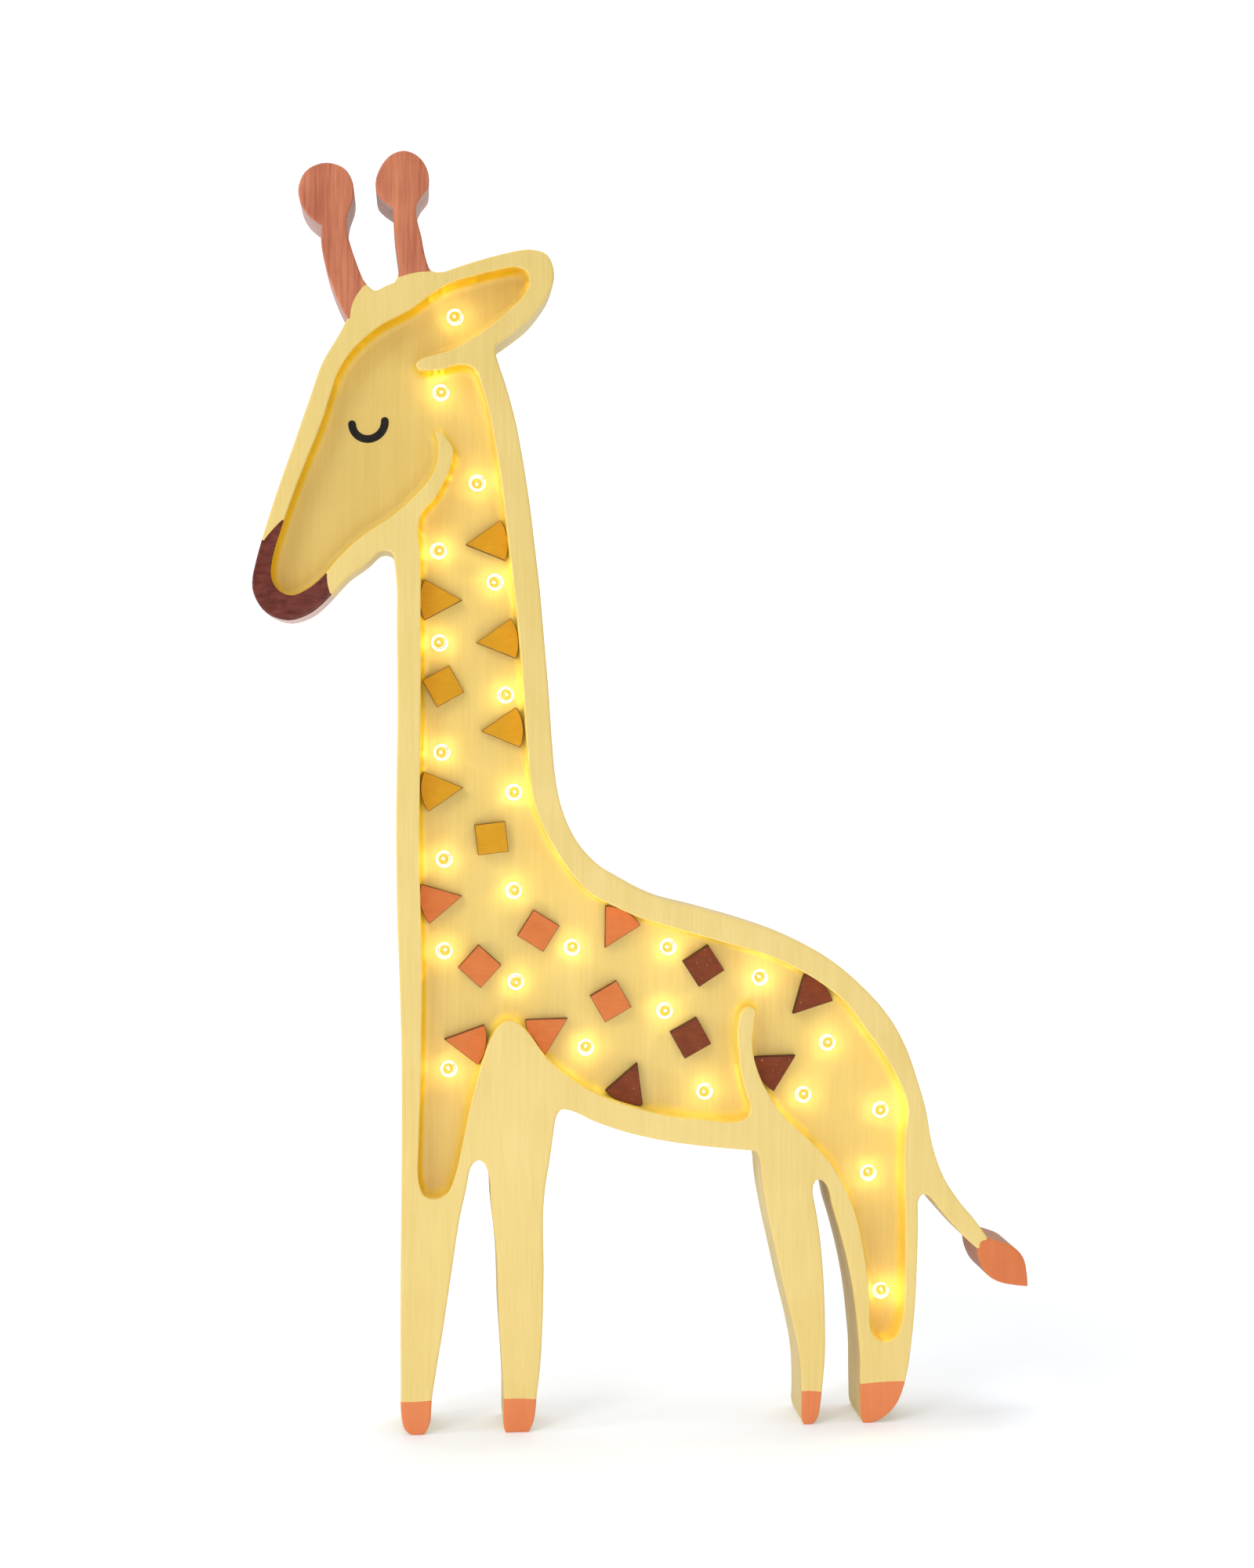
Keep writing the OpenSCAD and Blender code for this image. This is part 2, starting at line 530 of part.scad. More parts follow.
module switch_rocker() {
    color("#232324") translate([switch_at[0], pivot_y, switch_at[1]]) {
        rotate([rocker_tilt, 0, 0]) translate([rocker_w / 2, 0, 0]) rotate([0, -90, 0])
            linear_extrude(rocker_w) polygon(rocker_section());
        translate([opening_play - switch_w / 2, 0, 0]) rotate([0, 90, 0])
            cylinder(h = switch_w - 2 * opening_play, r = pivot_r);
    }
}

module switch_blades() {
    color("#C2A45A") for (dz = [-blade_dz, blade_dz])
        block(switch_at + [0, dz], blade_w, blade_t, switch_bottom - blade_l, switch_bottom);
}

// Power socket ------------------------------------------------------------------------------------

module socket_housing() {
    color("#1B1B1C") difference() {
        union() {
            rod(socket_at, socket_bottom, cover_back + eps, socket_body_r, socket_body_r);
            rod(socket_at, cover_back, cover_back + socket_flange_t, socket_flange_r, socket_flange_r);
        }
        rod(socket_at, cover_back - socket_depth, back + 1, socket_r, socket_r);
        rod(socket_at, socket_bottom - 1, back, pin_r, pin_r);
    }
}

module socket_pin() {
    color("#C8C8C8") rod(socket_at, socket_bottom, cover_back + 0.5, pin_r, pin_r);
}

module socket_nut() {
    color("#A9ABAD") difference() {
        translate([socket_at[0], cover_front - socket_nut_t, socket_at[1]]) rotate([-90, 0, 0])
            cylinder(h = socket_nut_t, r = socket_nut_r, $fn = 6);
        rod(socket_at, 0, cover_back, socket_body_r, socket_body_r);
    }
}

module socket_tags() {
    color("#C2A45A") for (dx = [-tag_dx, tag_dx])
        block(socket_at + [dx, 0], tag_t, tag_w, socket_bottom - tag_l, socket_bottom);
}

// Nodes -------------------------------------------------------------------------------------------

board();
back_cover();
cover_screws();
for (i = [0:len(SPOTS) - 1]) spot(SPOTS[i]);
for (i = [0:len(LAMPS) - 1]) led(LAMPS[i]);
led_leads();
solder_joints();
wire_red();
wire_black();
resistor();
switch_housing();
switch_rocker();
switch_blades();
socket_housing();
socket_pin();
socket_nut();
socket_tags();
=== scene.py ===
"""Giraffe night light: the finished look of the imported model, in metres, in the model's own frame."""

import json
import math
import random

import bmesh
import bpy
import numpy as np
from mathutils import Matrix, Vector
from mathutils.geometry import delaunay_2d_cdt


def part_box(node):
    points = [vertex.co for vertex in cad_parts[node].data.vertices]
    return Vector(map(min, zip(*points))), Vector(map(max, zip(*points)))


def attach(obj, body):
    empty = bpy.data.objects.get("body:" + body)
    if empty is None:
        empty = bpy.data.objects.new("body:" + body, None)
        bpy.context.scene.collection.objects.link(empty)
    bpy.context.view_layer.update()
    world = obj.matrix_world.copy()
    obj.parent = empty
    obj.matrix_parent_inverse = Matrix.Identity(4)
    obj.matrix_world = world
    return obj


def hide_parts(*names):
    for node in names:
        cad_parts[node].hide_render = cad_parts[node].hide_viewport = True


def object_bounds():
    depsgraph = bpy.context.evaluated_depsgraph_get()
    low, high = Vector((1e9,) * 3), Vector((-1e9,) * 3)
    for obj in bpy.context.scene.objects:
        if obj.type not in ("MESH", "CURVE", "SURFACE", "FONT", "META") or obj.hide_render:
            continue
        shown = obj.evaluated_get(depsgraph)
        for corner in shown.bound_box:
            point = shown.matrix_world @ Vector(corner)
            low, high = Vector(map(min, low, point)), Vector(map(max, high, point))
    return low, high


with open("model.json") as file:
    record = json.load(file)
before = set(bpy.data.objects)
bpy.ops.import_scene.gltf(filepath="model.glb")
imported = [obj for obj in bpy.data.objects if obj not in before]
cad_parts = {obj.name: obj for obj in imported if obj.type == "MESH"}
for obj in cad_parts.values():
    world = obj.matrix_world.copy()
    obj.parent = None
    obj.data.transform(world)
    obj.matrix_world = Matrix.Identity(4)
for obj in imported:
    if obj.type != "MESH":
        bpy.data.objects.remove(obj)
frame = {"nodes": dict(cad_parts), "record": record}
CAD_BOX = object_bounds()

MM = 0.001
LAMP_BODY = "lamp"
NODES = frame["nodes"]

# Planes of the board, in millimetres of depth, read from the nodes that end on them.
FRONT = CAD_BOX[0].y / MM
BACK = CAD_BOX[1].y / MM
SPOT_NODES = sorted(n for n in NODES if n.startswith("spot_"))
LED_NODES = sorted(n for n in NODES if n.startswith("led_") and n[4:].isdigit())
SPOT_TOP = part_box(SPOT_NODES[0])[0].y / MM
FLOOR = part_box(SPOT_NODES[0])[1].y / MM
LENS_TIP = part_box(LED_NODES[0])[0].y / MM
COVER_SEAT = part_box("back_cover")[0].y / MM

STEP = 2.0  # spacing of points along a curved outline
CORNER = math.radians(22)  # a sharper turn than this stays a corner
FRONT_EASE = 1.0  # radius of the sanded edge round the outside
BACK_EASE = 0.8
RIM_EASE = 0.7  # radius of the sanded edge round the recess
COVE_R = 3.8  # radius that the milling cutter leaves along the recess floor


# Outlines --------------------------------------------------------------------------------------


def outlines(node, depth):
    """Closed outlines of a CAD node's flat faces at one depth, the longest first, as rows of (x, z) in mm."""
    bm = bmesh.new()
    bm.from_mesh(NODES[node].data)
    bmesh.ops.remove_doubles(bm, verts=bm.verts, dist=0.002 * MM)
    flat = {f for f in bm.faces if all(abs(v.co.y / MM - depth) < 0.01 for v in f.verts)}
    border = [e for e in bm.edges if sum(f in flat for f in e.link_faces) == 1]
    ways = {}
    for e in border:
        for v in e.verts:
            ways.setdefault(v, []).append(e)
    loops = []
    left = set(border)
    while left:
        edge = left.pop()
        start, here = edge.verts
        line = [start, here]
        while here is not start:
            edge = next(e for e in ways[here] if e in left)
            left.discard(edge)
            here = edge.other_vert(here)
            line.append(here)
        loops.append(np.array([(v.co.x / MM, v.co.z / MM) for v in line[:-1]]))
    bm.free()
    loops = [anticlockwise(p) for p in loops]
    return sorted(loops, key=lambda p: -np.linalg.norm(p - np.roll(p, 1, 0), axis=1).sum())


def signed_area(p):
    q = np.roll(p, -1, 0)
    return 0.5 * float((p[:, 0] * q[:, 1] - q[:, 0] * p[:, 1]).sum())


def anticlockwise(p):
    return p if signed_area(p) > 0 else p[::-1]


def unit(v):
    return v / np.maximum(np.linalg.norm(v, axis=-1, keepdims=True), 1e-9)


def smooth(p, step=STEP):
    """The same outline as a smooth curve through its points, with its corners kept."""
    before, after = p - np.roll(p, 1, 0), np.roll(p, -1, 0) - p
    a, b = np.linalg.norm(before, axis=1), np.linalg.norm(after, axis=1)
    u, v = unit(before), unit(after)
    corner = np.abs(np.arctan2(u[:, 0] * v[:, 1] - u[:, 1] * v[:, 0], (u * v).sum(1))) > CORNER
    tangent = unit(v * a[:, None] + u * b[:, None])
    out = []
    for i in range(len(p)):
        j = (i + 1) % len(p)
        length = b[i]
        chord = v[i]
        m0 = tangent[i] if not corner[i] else chord
        m1 = tangent[j] if not corner[j] else chord
        if corner[i] and not corner[j]:
            m0 = unit(2 * chord - m1)
        if corner[j] and not corner[i]:
            m1 = unit(2 * chord - m0)
        for t in np.arange(0, 1, 1 / max(1, round(length / step))):
            t2, t3 = t * t, t * t * t
            out.append(
                (2 * t3 - 3 * t2 + 1) * p[i] + (t3 - 2 * t2 + t) * length * m0
                + (3 * t2 - 2 * t3) * p[j] + (t3 - t2) * length * m1
            )
    return np.array(out)


def circle(centre, radius, count):
    a = np.arange(count) * 2 * math.pi / count
    return np.array(centre) + radius * np.stack([np.cos(a), np.sin(a)], 1)


def inside(points, loop):
    """For each point, whether it lies in a closed outline."""
    x, y = points[:, 0][:, None], points[:, 1][:, None]
    x0, y0 = loop[:, 0][None], loop[:, 1][None]
    x1, y1 = np.roll(x0, -1, 1), np.roll(y0, -1, 1)
    spans = (y0 > y) != (y1 > y)
    rise = np.where(y1 == y0, 1, y1 - y0)
    return (spans & (x < (x1 - x0) * (y - y0) / rise + x0)).sum(1) % 2 == 1


def distance(points, loop):
    """For each point, how far it is from a closed outline."""
    a, b = loop, np.roll(loop, -1, 0)
    ab = b - a
    found = []
    for part in np.array_split(points, max(1, len(points) // 400)):
        ap = part[:, None] - a[None]
        t = np.clip((ap * ab).sum(2) / (ab * ab).sum(1), 0, 1)
        found.append(np.linalg.norm(ap - t[..., None] * ab, axis=2).min(1))
    return np.concatenate(found)


def grown(p, by):
    """An anticlockwise outline moved outwards, with its corners mitred and no folds beside them."""
    if by == 0:
        return p
    u, v = unit(p - np.roll(p, 1, 0)), unit(np.roll(p, -1, 0) - p)
    n = np.stack([u[:, 1] + v[:, 1], -u[:, 0] - v[:, 0]], 1)
    moved = p + by * n / np.maximum(1 + (u * v).sum(1), 0.35)[:, None]
    clear = np.flatnonzero(distance(moved, p) > 0.999 * abs(by))
    every = np.arange(len(p))
    return np.stack([np.interp(every, clear, moved[clear, k], period=len(p)) for k in (0, 1)], 1)


# Meshes ----------------------------------------------------------------------------------------


def ring(bm, loop, depth):
    """A closed row of new vertices at one depth, or at a depth of its own for each."""
    depths = np.broadcast_to(depth, len(loop))
    return [bm.verts.new((x * MM, d * MM, z * MM)) for (x, z), d in zip(loop, depths)]


def bridge(bm, a, b, slot=0):
    """Quads between two rows of vertices. Returns them in order."""
    quads = []
    for i in range(len(a)):
        j = (i + 1) % len(a)
        quads.append(bm.faces.new((a[i], a[j], b[j], b[i])))
        quads[-1].material_index = slot
        quads[-1].smooth = True
    return quads


def flat(p):
    return [Vector(q) for q in p]


def fill(bm, outer, holes, extra=(), lines=(), height=None, slot=0):
    """Triangles between a ring of vertices and its holes. extra holds free points, lines rows of vertices
    that stay edges, and height gives the depth of the free points. Returns the new faces."""
    loops = [outer, *holes]
    fixed = [v for loop in loops for v in loop]
    points = [(v.co.x / MM, v.co.z / MM) for v in fixed]
    edges = []
    start = 0
    for loop in loops:
        edges += [(start + i, start + (i + 1) % len(loop)) for i in range(len(loop))]
        start += len(loop)
    index = {v: i for i, v in enumerate(fixed)}
    for line in lines:
        for v in line:
            if v not in index:
                index[v] = len(fixed)
                fixed.append(v)
                points.append((v.co.x / MM, v.co.z / MM))
        edges += [(index[a], index[b]) for a, b in zip(line, line[1:])]
    if len(extra):
        for (x, z), d in zip(extra, height(np.array(extra))):
            fixed.append(bm.verts.new((x * MM, d * MM, z * MM)))
            points.append((x, z))
    verts, _, faces, sources, _, _ = delaunay_2d_cdt(flat(points), edges, [], 1, 1e-5)
    assert len(verts) == len(points), "outlines cross or touch"
    made = [fixed[s[0]] for s in sources]
    where = np.array([verts[i] for f in faces for i in f]).reshape(-1, 3, 2).mean(1)
    keep = inside(where, np.array(points)[: len(outer)])
    start = len(outer)
    for hole in holes:
        keep &= ~inside(where, np.array(points)[start : start + len(hole)])
        start += len(hole)
    new = []
    for f, wanted in zip(faces, keep):
        if wanted:
            new.append(bm.faces.new([made[i] for i in f]))
            new[-1].material_index = slot
            new[-1].smooth = True
    return new


def eased(radius, steps=4):
    """A quarter round as pairs of (how far in from the wall, how far down from the face)."""
    angles = [math.pi / 2 * s / steps for s in range(steps + 1)]
    return [(radius * (1 - math.sin(a)), radius * (1 - math.cos(a))) for a in angles]


def finished(bm, name, materials, body=LAMP_BODY, replaced=(), sharp=40):
    """Closes a mesh off as a piece that rides on a body."""
    bmesh.ops.remove_doubles(bm, verts=bm.verts, dist=0.0005 * MM)
    bmesh.ops.recalc_face_normals(bm, faces=bm.faces)
    mesh = bpy.data.meshes.new(name)
    bm.to_mesh(mesh)
    bm.free()
    for m in materials:
        mesh.materials.append(m)
    mesh.set_sharp_from_angle(angle=math.radians(sharp))
    piece = bpy.data.objects.new(name, mesh)
    bpy.context.scene.collection.objects.link(piece)
    even = piece.modifiers.new("even_shading", "WEIGHTED_NORMAL")
    even.keep_sharp = True
    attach(piece, body)
    if replaced:
        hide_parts(*replaced)
    return piece


# Materials -------------------------------------------------------------------------------------


def linear(red, green, blue):
    """An 8-bit sRGB colour as the linear colour that shaders take."""
    c = [v / 255 for v in (red, green, blue)]
    return (*(v / 12.92 if v <= 0.04045 else ((v + 0.055) / 1.055) ** 2.4 for v in c), 1)


def give(links, socket, value):
    """Links another node's output to a socket, or sets the socket to a plain value."""
    if hasattr(value, "links"):
        links.new(value, socket)
    else:
        socket.default_value = value


class Shader:
    """A material under construction: short names for the nodes that the materials below share."""

    def __init__(self, name, roughness=0.5, **sockets):
        self.material = bpy.data.materials.new(name)
        self.material.use_nodes = True
        self.nodes = self.material.node_tree.nodes
        self.links = self.material.node_tree.links
        self.base = self.nodes["Principled BSDF"]
        self.base.inputs["Roughness"].default_value = roughness
        for key, value in sockets.items():
            self.base.inputs[key.replace("_", " ")].default_value = value
        self.place = self.nodes.new("ShaderNodeTexCoord").outputs["Object"]

    def put(self, socket, value):
        give(self.links, socket, value)

    def stretched(self, scale, turn=(0, 0, 0)):
        node = self.nodes.new("ShaderNodeMapping")
        self.links.new(self.place, node.inputs["Vector"])
        node.inputs["Scale"].default_value = scale
        node.inputs["Rotation"].default_value = turn
        return node.outputs["Vector"]

    def noise(self, scale, detail=3, rough=0.55, vector=None, distortion=0):
        node = self.nodes.new("ShaderNodeTexNoise")
        self.links.new(vector or self.place, node.inputs["Vector"])
        inputs = {"Scale": scale, "Detail": detail, "Roughness": rough, "Distortion": distortion}
        for key, value in inputs.items():
            node.inputs[key].default_value = value
        return node.outputs["Fac"]

    def ramp(self, value, *stops):
        node = self.nodes.new("ShaderNodeValToRGB")
        self.links.new(value, node.inputs["Fac"])
        while len(node.color_ramp.elements) < len(stops):
            node.color_ramp.elements.new(0.5)
        for element, (at, colour) in zip(node.color_ramp.elements, stops):
            element.position = at
            element.color = colour if hasattr(colour, "__len__") else (colour, colour, colour, 1)
        return node.outputs["Color"]

    def mix(self, amount, a, b, mode="MIX"):
        node = self.nodes.new("ShaderNodeMix")
        node.data_type = "RGBA"
        node.blend_type = mode
        self.put(node.inputs["Factor"], amount)
        self.put(node.inputs["A"], a)
        self.put(node.inputs["B"], b)
        return node.outputs["Result"]

    def maths(self, mode, a, b=0.0, clamp=False):
        node = self.nodes.new("ShaderNodeMath")
        node.operation = mode
        node.use_clamp = clamp
        self.put(node.inputs[0], a)
        self.put(node.inputs[1], b)
        return node.outputs["Value"]

    def bump(self, height, strength, distance_mm):
        node = self.nodes.new("ShaderNodeBump")
        node.inputs["Strength"].default_value = strength
        node.inputs["Distance"].default_value = distance_mm * MM
        self.links.new(height, node.inputs["Height"])
        self.links.new(node.outputs["Normal"], self.base.inputs["Normal"])

    def facing(self, direction):
        """How squarely the surface faces a direction of its object: 1 straight at it, below 0 away."""
        node = self.nodes.new("ShaderNodeVectorMath")
        node.operation = "DOT_PRODUCT"
        self.links.new(self.place.node.outputs["Normal"], node.inputs[0])
        node.inputs[1].default_value = Vector(direction).normalized()
        return node.outputs["Value"]

    def finish(self, colour=None, roughness=None):
        if colour is not None:
            self.put(self.base.inputs["Base Color"], colour)
        if roughness is not None:
            self.links.new(roughness, self.base.inputs["Roughness"])
        return self.material


ALONG_GRAIN = (1.0, 1.0, 0.045)  # the grain runs up the board


def painted_wood(name, colour, dark, low=0.34, roughness=0.5, grain=0.35, gloss=0.35):
    """Thin satin paint over upright pine grain: fine streaks, broad faint bands and a slow mottle. low is how
    far the darker shade reaches into the streaks."""
    s = Shader(name, Specular_IOR_Level=gloss)
    fine = s.noise(900, 4, 0.65, s.stretched(ALONG_GRAIN))
    bands = s.noise(75, 4, 0.6, s.stretched((1, 1, 0.05)), 0.8)
    mottle = s.noise(28, 2)
    body = s.ramp(s.mix(0.3, s.mix(0.45, fine, bands), mottle), (low, dark), (0.62, colour))
    s.bump(s.mix(0.3, fine, s.noise(350, 3)), grain, 0.08)
    sheen = s.noise(240, 3, 0.6, s.stretched(ALONG_GRAIN))
    return s.finish(body, s.ramp(sheen, (0.3, roughness - 0.08), (0.7, roughness + 0.1)))


def recess_paint_with_painted_light():
    """The paint inside the recess. Up the cove and the wall it turns deeper and warmer: a painted glow for
    the lamps' light thrown back and forth there, and on the walls painted shade and painted light by which
    way they face."""
    s = Shader("paint_yellow_recess_painted_glow_and_shade", Specular_IOR_Level=0.3)
    fine = s.noise(900, 4, 0.65, s.stretched(ALONG_GRAIN))
    bands = s.noise(75, 4, 0.6, s.stretched((1, 1, 0.05)), 0.8)
    grain = s.mix(0.3, s.mix(0.45, fine, bands), s.noise(28, 2))
    split = s.nodes.new("ShaderNodeSeparateXYZ")
    s.links.new(s.place, split.inputs[0])
    # Painted glow: up the cove, the floor's paint gives way to the wall's lit and shaded paint.
    painted_glow_climb = s.nodes.new("ShaderNodeMapRange")
    painted_glow_climb.interpolation_type = "SMOOTHSTEP"
    s.links.new(split.outputs["Y"], painted_glow_climb.inputs["Value"])
    painted_glow_climb.inputs["From Min"].default_value = FLOOR * MM
    painted_glow_climb.inputs["From Max"].default_value = (FLOOR - 0.35 * COVE_R) * MM
    on_floor = s.ramp(grain, (0.34, linear(224, 192, 103)), (0.62, linear(234, 204, 117)))
    # Painted shade: walls turned from the sky get a deeper gold; painted light gives the walls turned to it a
    # paler yellow.
    painted_shade_mask = s.ramp(s.facing((0.8, 0, -0.6)), (0.0, 0.0), (0.6, 1.0))
    painted_shade_gold = s.ramp(grain, (0.34, linear(222, 172, 22)), (0.62, linear(236, 190, 32)))
    pale = s.ramp(grain, (0.34, linear(230, 196, 84)), (0.62, linear(240, 209, 96)))
    wall_lit_and_shaded = s.mix(painted_shade_mask, pale, painted_shade_gold)
    s.bump(s.mix(0.3, fine, s.noise(350, 3)), 0.35, 0.08)
    sheen = s.noise(240, 3, 0.6, s.stretched(ALONG_GRAIN))
    tint = s.mix(painted_glow_climb.outputs["Result"], on_floor, wall_lit_and_shaded)
    return s.finish(tint, s.ramp(sheen, (0.3, 0.38), (0.7, 0.56)))


def brushed_paint(name, colour, dark, along, roughness, gloss):
    """Thick glossy paint that keeps the strokes of the brush, drawn out along one direction."""
    s = Shader(name, Specular_IOR_Level=gloss)
    strokes = s.noise(420, 4, 0.6, s.stretched(along), 0.5)
    lumps = s.noise(260, 3)
    s.bump(s.mix(0.35, strokes, lumps), 0.9, 0.35)
    body = s.ramp(s.mix(0.4, strokes, lumps), (0.36, dark), (0.6, colour))
    return s.finish(body, s.ramp(strokes, (0.3, roughness - 0.06), (0.7, roughness + 0.12)))


def glow(name, colour, edge, strength):
    """A lit surface inside the lamp: it shines in its own grainy colour."""
    s = Shader(name, 0.4)
    grains = s.ramp(s.noise(1500, 2), (0.3, edge), (0.7, colour))
    s.links.new(grains, s.base.inputs["Emission Color"])
    s.base.inputs["Emission Strength"].default_value = strength
    return s.finish(grains)


def sink_painted_glow():
    """The countersink round a lamp: a near-white painted glow for the lamp's light on the wood, and a painted
    shade where its facets face down and left, for the thin dark gap at its upper right.
    """
    s = Shader("lamp_sink_painted_glow", 0.4)
    painted_gap_shade = s.ramp(s.facing((-0.8, -0.3, -0.6)), (0.82, 0.0), (0.92, 1.0))
    lit = s.ramp(s.noise(1500, 2), (0.3, linear(255, 244, 204)), (0.7, linear(255, 250, 226)))
    tint = s.mix(painted_gap_shade, lit, linear(176, 146, 92))
    s.links.new(tint, s.base.inputs["Emission Color"])
    s.links.new(s.ramp(painted_gap_shade, (0.0, 0.9), (1.0, 0.2)), s.base.inputs["Emission Strength"])
    return s.finish(tint)


SINK_PAINTED_GLOW = sink_painted_glow()
YELLOW = painted_wood("paint_yellow", linear(239, 211, 130), linear(229, 198, 113))
# The board's sides: the same yellow paint, darker and greyer as painted shade.
YELLOW_SIDE_SHADED = painted_wood("paint_yellow_side_painted_shade", linear(222, 198, 130), linear(198, 173, 110), 0.3, 0.55, 0.5)
# The recess paint, with its painted glow and painted shade on the cove and walls.
RECESS_PAINT_GLOW_AND_SHADE = recess_paint_with_painted_light()
HOOF = painted_wood("paint_hoof", linear(234, 136, 79), linear(224, 124, 70))
HORN = painted_wood("paint_horn", linear(221, 137, 98), linear(176, 96, 66), 0.43, 0.42, 1.1)
# The horns' sides: the horn paint washed out to a pale pink-grey, a painted reflection of the white room at
# grazing angles.
HORN_SIDE_SHEEN = painted_wood("paint_horn_side_painted_sheen", linear(196, 160, 150), linear(166, 128, 118), 0.35, 0.6, 0.5)
TUFT = painted_wood("paint_tuft", linear(223, 124, 66), linear(210, 110, 56))
# The tuft's sides: the tuft paint washed out to a dusty rose, a painted reflection of the white room at
# grazing angles.
TUFT_SIDE_SHEEN = painted_wood("paint_tuft_side_painted_sheen", linear(176, 120, 88), linear(150, 96, 70), 0.35, 0.6, 0.5)
NOSE = brushed_paint("paint_nose", linear(116, 50, 36), linear(84, 32, 22), (0.35, 1, 1), 0.2, 0.35)
NOSE_SIDE = painted_wood("paint_nose_side", linear(216, 188, 178), linear(190, 156, 144), 0.35, 0.55)
EYE = brushed_paint("paint_eye", linear(38, 32, 26), linear(24, 20, 16), (1, 1, 1), 0.4, 0.2)

BOARD_MATERIALS = [
    YELLOW, YELLOW_SIDE_SHADED, RECESS_PAINT_GLOW_AND_SHADE, SINK_PAINTED_GLOW, HOOF, HORN, HORN_SIDE_SHEEN, TUFT, TUFT_SIDE_SHEEN, NOSE, NOSE_SIDE]
SLOT_OF = {m.name: i for i, m in enumerate(BOARD_MATERIALS)}


# Board -----------------------------------------------------------------------------------------

# Each painted area: its paint, the paint of the board's edge there with its painted shade or painted
# reflection, a point inside it, and the lines that bound it, each from one edge of the face to the other with
# a sag to the left of its direction, in mm.
PAINTED_AREAS = [
    ("paint_hoof", "paint_yellow_side_painted_shade", (-97, 6), [((-105, 14.4), (-91, 14.8), -0.2)]),
    ("paint_hoof", "paint_yellow_side_painted_shade", (-54, 6), [((-61, 14.6), (-46.5, 14.4), 0.2)]),
    ("paint_hoof", "paint_yellow_side_painted_shade", (71, 6), [((67, 14.3), (76, 14.3), 0.2)]),
    ("paint_hoof", "paint_yellow_side_painted_shade", (100, 6), [((92.4, 16.8), (112.4, 17.2), 0.3)]),
    ("paint_horn", "paint_horn_side_painted_sheen", (-136, 520), [((-126.3, 469.4), (-118.6, 484), 1.6)]),
    ("paint_horn", "paint_horn_side_painted_sheen", (-103, 525), [((-105.4, 487), (-92, 490.2), 0.6)]),
    ("paint_tuft", "paint_tuft_side_painted_sheen", (156, 67), [((148.2, 78.8), (143.6, 74.4), -1.2)]),
    ("paint_nose", "paint_nose_side", (-162, 358),
     [((-161.8, 376.5), (-153.4, 384.4), 0.3), ((-133.2, 354.6), (-135.3, 363.4), 0.4)]),
]
LINE_STEPS = 10


def nearest(verts, point):
    at = Vector((point[0] * MM, 0, point[1] * MM))
    return min(verts, key=lambda v: (Vector((v.co.x, 0, v.co.z)) - at).length)


def paint_lines(bm, edge_verts):
    """For each painted area, the rows of vertices across the front face that bound it."""
    areas = []
    for _, _, _, bounds in PAINTED_AREAS:
        rows = []
        for start, end, sag in bounds:
            a, b = nearest(edge_verts, start), nearest(edge_verts, end)
            across = (b.co - a.co).normalized()
            left = Vector((-across.z, 0, across.x))
            inner = []
            for s in range(1, LINE_STEPS):
                t = s / LINE_STEPS
                inner.append(bm.verts.new(a.co.lerp(b.co, t) + left * (4 * t * (1 - t) * sag * MM)))
            rows.append([a, *inner, b])
        areas.append(rows)
    return areas


def flood(faces, walls, seed):
    """The faces that can be reached from the one nearest a point without crossing the wall edges."""
    at = Vector((seed[0] * MM, FRONT * MM, seed[1] * MM))
    first = min(faces, key=lambda f: (f.calc_center_median() - at).length)
    found, waiting = {first}, [first]
    while waiting:
        for e in waiting.pop().edges:
            if e in walls:
                continue
            for f in e.link_faces:
                if f in faces and f not in found:
                    found.add(f)
                    waiting.append(f)
    return found


def edge_between(a, b):
    return next(e for e in a.link_edges if e.other_vert(a) is b)


def cove_height(loop):
    """The depth of the recess floor at any point, from how near the recess's edge it is."""
    def depth(points):
        near = np.clip(COVE_R - distance(points, loop), 0, COVE_R)
        return FLOOR - (COVE_R - np.sqrt(np.maximum(COVE_R**2 - near**2, 0)))
    return depth


